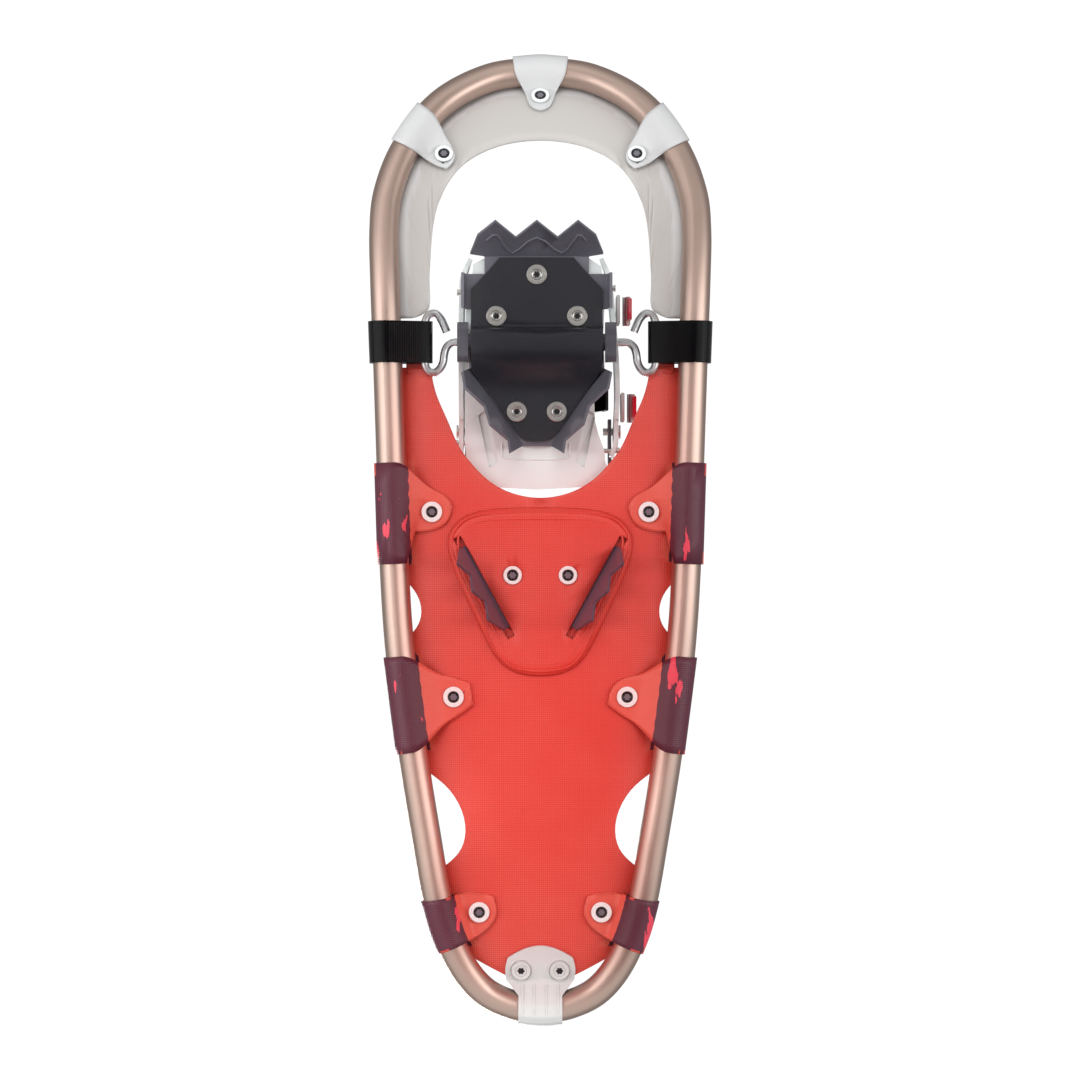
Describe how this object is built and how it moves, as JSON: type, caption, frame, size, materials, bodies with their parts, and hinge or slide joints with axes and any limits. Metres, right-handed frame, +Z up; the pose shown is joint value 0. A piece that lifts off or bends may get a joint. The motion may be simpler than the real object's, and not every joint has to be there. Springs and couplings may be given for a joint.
{
  "type": "snowshoe",
  "caption": "Left trail snowshoe: bent tube frame, fabric decks wrapped round it, and a binding with toe crampon that pivots on a cross rod.",
  "frame": {"origin": "centre of the footprint at the crampon tips, on the ground plane", "axes": "+Y towards the toe, +Z up away from the snow, +X towards the wearer's right, the inner side of this left shoe"},
  "size_m": [0.2234, 0.6408, 0.1069],
  "materials": {
    "bronze": "satin champagne-bronze anodised tube",
    "coral": "coral coated woven decking",
    "light_sheet": "pale grey coated decking",
    "white_washer": "white painted rivet and washer",
    "plum_steel": "dark plum powder coat",
    "light_plastic": "pale grey moulded plastic",
    "zinc": "bright zinc plate",
    "urethane": "gloss black urethane",
    "smoke": "dark smoky grey",
    "steel": "dark grey powder coat",
    "rubber": "fine grained black rubber",
    "nickel": "satin nickel",
    "red": "crimson moulded plastic"
  },
  "bodies": {
    "frame": {"axle_rod": "zinc", "deck_rivet_left_front": "white_washer", "deck_rivet_left_middle": "white_washer", "deck_rivet_left_rear": "white_washer", "deck_rivet_right_front": "white_washer", "deck_rivet_right_middle": "white_washer", "deck_rivet_right_rear": "white_washer", "frame_splice_sleeve": "bronze", "frame_tube": "bronze", "heel_crampon": "plum_steel", "heel_pad": "light_plastic", "heel_patch": "coral", "heel_rivet_left": "white_washer", "heel_rivet_right": "white_washer", "main_deck": "coral", "strap_left": "urethane", "strap_right": "urethane", "tail_clip": "light_plastic", "tail_rivet_left": "light_plastic", "tail_rivet_right": "light_plastic", "toe_deck": "light_sheet", "toe_rivet_centre": "white_washer", "toe_rivet_left": "white_washer", "toe_rivet_right": "white_washer"},
    "binding": {"bush_left": "smoke", "bush_right": "smoke", "crampon_pad": "rubber", "crampon_rivet_1": "nickel", "crampon_rivet_2": "nickel", "crampon_rivet_3": "nickel", "crampon_rivet_4": "nickel", "crampon_rivet_5": "nickel", "footbed": "light_plastic", "footbed_pad": "smoke", "heel_pivot_inner": "nickel", "heel_pivot_outer": "nickel", "inner_wing": "light_plastic", "instep_buckle_base": "light_plastic", "instep_lever_pin": "zinc", "instep_strap": "urethane", "outer_wing": "light_plastic", "toe_buckle_base": "light_plastic", "toe_crampon": "steel", "toe_lever_pin": "zinc", "toe_strap": "urethane", "wing_rivet_inner_front": "nickel", "wing_rivet_inner_rear": "nickel", "wing_rivet_outer_front": "nickel", "wing_rivet_outer_rear": "nickel"},
    "toe_lever": {"toe_lever": "red"},
    "instep_lever": {"instep_lever": "red"},
    "heel_strap": {"heel_strap": "smoke"}
  },
  "joints": [
    {"name": "binding_pivot", "type": "hinge", "parent": "frame", "child": "binding", "pos_m": [0, 0.124, 0.0218], "axis": [-1, 0, 0], "range_deg": [0, 75]},
    {"name": "toe_lever_hinge", "type": "hinge", "parent": "binding", "child": "toe_lever", "pos_m": [-0.0556, 0.1471, 0.0658], "axis": [0, 1, 0], "range_deg": [0, 75]},
    {"name": "instep_lever_hinge", "type": "hinge", "parent": "binding", "child": "instep_lever", "pos_m": [-0.0586, 0.0831, 0.0658], "axis": [0, 1, 0], "range_deg": [0, 75]},
    {"name": "heel_strap_hinge", "type": "hinge", "parent": "binding", "child": "heel_strap", "pos_m": [0.0023, 0.0671, 0.0538], "axis": [-1, 0, 0], "range_deg": [0, 60]}
  ]
}
